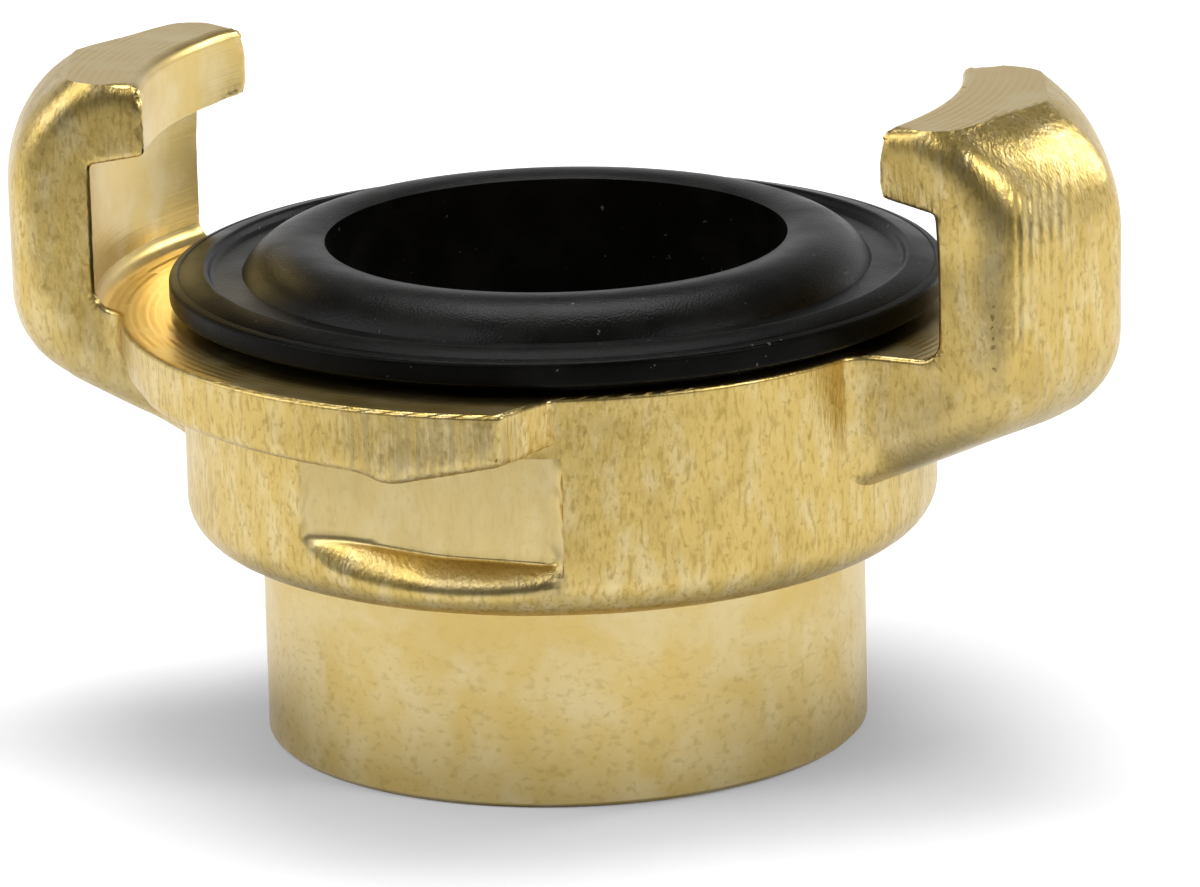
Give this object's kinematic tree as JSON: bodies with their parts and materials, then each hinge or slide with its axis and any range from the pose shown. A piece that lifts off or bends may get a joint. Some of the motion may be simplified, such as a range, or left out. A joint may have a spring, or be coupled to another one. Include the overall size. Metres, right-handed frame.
{
  "type": "quick connect hose coupling",
  "caption": "Forged brass quick coupling half with hook-shaped claws, a cammed flange, a black rubber face seal and an internally threaded socket.",
  "frame": {"origin": "centre of the socket's end face, on the surface that the coupling stands on", "axes": "+Z along the bore from the threaded socket up to the claws, X through both claws, Y across them"},
  "size_m": [0.0574, 0.0434, 0.0327],
  "materials": {
    "brass": "satin forged brass with turned faces",
    "rubber": "moulded, soft sheen"
  },
  "bodies": {
    "root": {"coupling_body": "brass", "profile_seal": "rubber", "thread_gasket": "rubber"}
  },
  "joints": []
}
